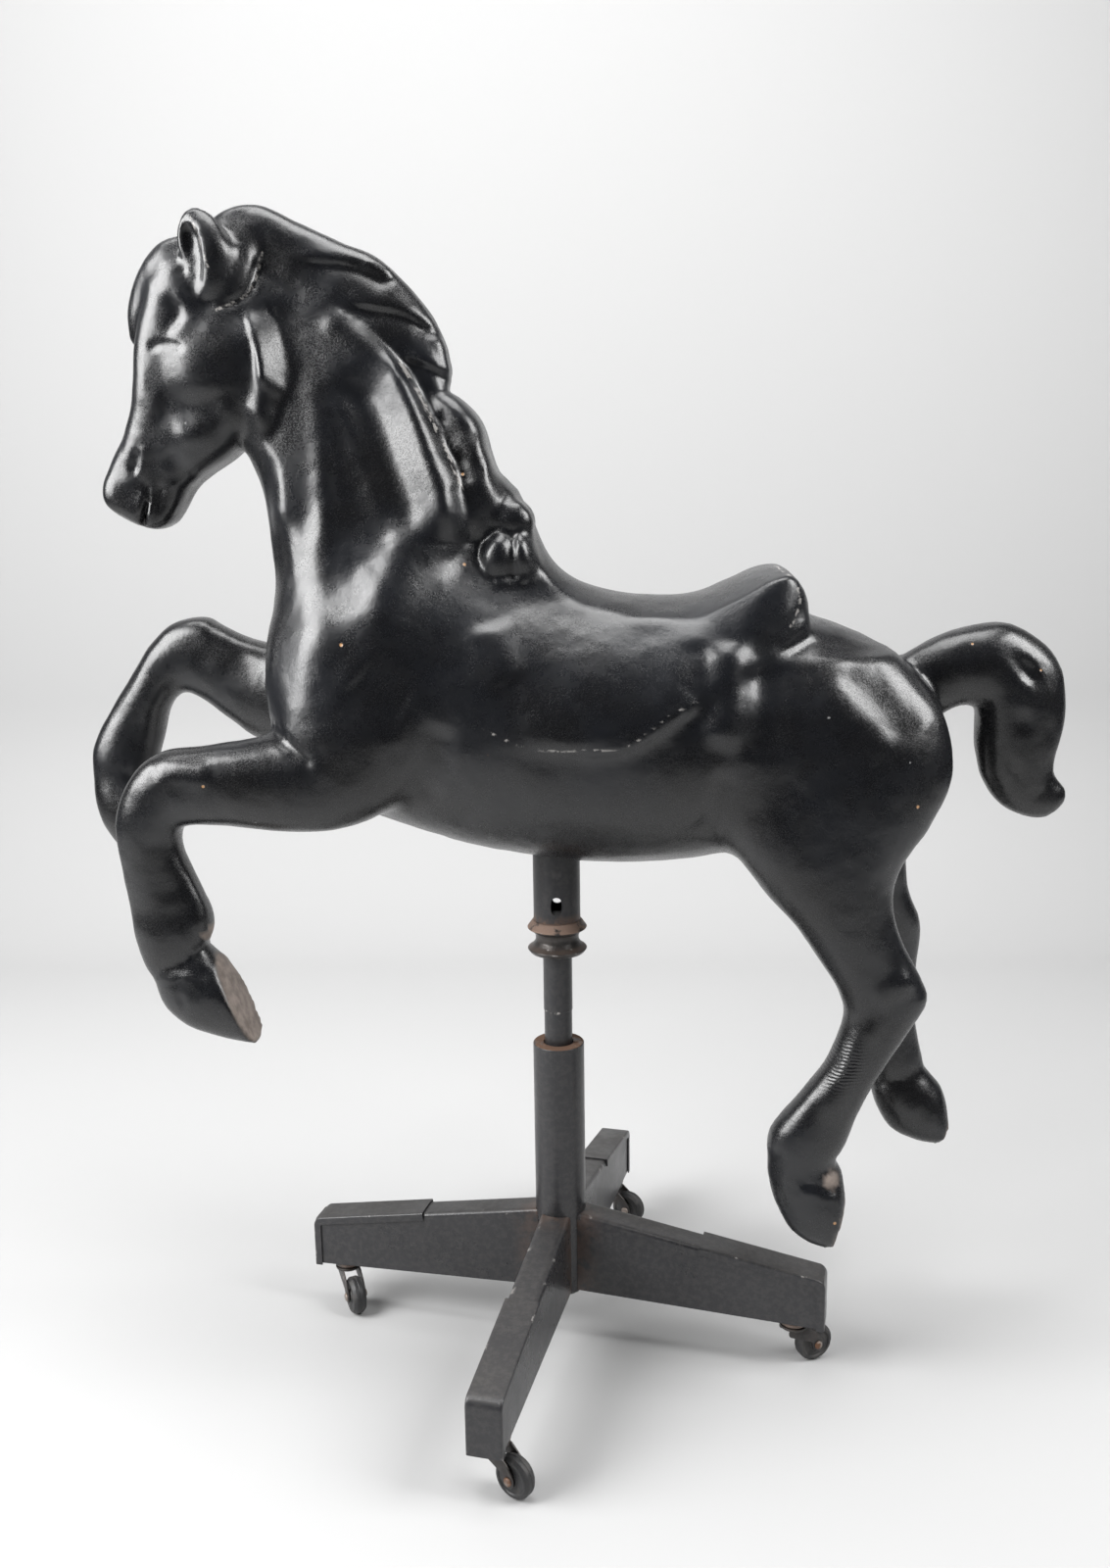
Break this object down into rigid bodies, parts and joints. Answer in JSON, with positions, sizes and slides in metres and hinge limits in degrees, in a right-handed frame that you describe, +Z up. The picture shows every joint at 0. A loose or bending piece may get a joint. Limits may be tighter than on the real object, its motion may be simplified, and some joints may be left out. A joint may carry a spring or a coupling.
{
  "type": "carousel horse on a wheeled stand",
  "caption": "Carved and painted wooden carousel horse in mid-leap, carried on a post that rises from a four-armed steel base with casters.",
  "frame": {"origin": "on the floor, below the middle of the whole object's box, 8.5 mm along +X from the post's axis", "axes": "+Z up, the horse faces -X and its near side faces -Y"},
  "size_m": [1.091, 0.6022, 1.258],
  "materials": {
    "horse_paint": "carved wood under semi-gloss black paint",
    "stand_paint": "satin charcoal-black paint, worn at the edges",
    "rusty_steel": "old dark paint with rust breaking through",
    "fork_steel": "dark stamped steel, lightly rusted",
    "axle_steel": "dull steel rivet",
    "wheel_rubber": "hard black rubber, scuffed"
  },
  "bodies": {
    "root": {"horse": "horse_paint", "sleeve": "stand_paint", "collar": "rusty_steel", "column": "stand_paint", "spindle": "stand_paint", "arm_right": "stand_paint", "arm_back": "stand_paint", "arm_left": "stand_paint", "arm_front": "stand_paint", "cover_right": "stand_paint", "cover_back": "stand_paint", "cover_left": "stand_paint", "cover_front": "stand_paint", "raceway_right": "rusty_steel", "raceway_back": "rusty_steel", "raceway_left": "rusty_steel", "raceway_front": "rusty_steel"},
    "caster_right": {"fork_right": "fork_steel", "axle_right": "axle_steel"},
    "caster_back": {"fork_back": "fork_steel", "axle_back": "axle_steel"},
    "caster_left": {"fork_left": "fork_steel", "axle_left": "axle_steel"},
    "caster_front": {"fork_front": "fork_steel", "axle_front": "axle_steel"},
    "roller_right": {"wheel_right": "wheel_rubber"},
    "roller_back": {"wheel_back": "wheel_rubber"},
    "roller_left": {"wheel_left": "wheel_rubber"},
    "roller_front": {"wheel_front": "wheel_rubber"}
  },
  "joints": [
    {"name": "swivel_right", "type": "hinge", "parent": "root", "child": "caster_right", "pos_m": [0.25404, -0.06303, 0.05], "axis": [0, 0, 1], "continuous": true},
    {"name": "swivel_back", "type": "hinge", "parent": "root", "child": "caster_back", "pos_m": [0.05453, 0.26254, 0.05], "axis": [0, 0, 1], "continuous": true},
    {"name": "swivel_left", "type": "hinge", "parent": "root", "child": "caster_left", "pos_m": [-0.27104, 0.06303, 0.05], "axis": [0, 0, 1], "continuous": true},
    {"name": "swivel_front", "type": "hinge", "parent": "root", "child": "caster_front", "pos_m": [-0.07153, -0.26254, 0.05], "axis": [0, 0, 1], "continuous": true},
    {"name": "spin_right", "type": "hinge", "parent": "caster_right", "child": "roller_right", "pos_m": [0.27807, -0.05233, 0.02185], "axis": [-0.4067, 0.9135, 0], "continuous": true},
    {"name": "spin_back", "type": "hinge", "parent": "caster_back", "child": "roller_back", "pos_m": [0.07775, 0.25019, 0.02185], "axis": [0.4695, 0.8829, 0], "continuous": true},
    {"name": "spin_left", "type": "hinge", "parent": "caster_left", "child": "roller_left", "pos_m": [-0.25951, 0.03939, 0.02185], "axis": [0.8988, 0.4384, 0], "continuous": true},
    {"name": "spin_front", "type": "hinge", "parent": "caster_front", "child": "roller_front", "pos_m": [-0.05081, -0.27873, 0.02185], "axis": [0.6157, 0.788, 0], "continuous": true}
  ]
}
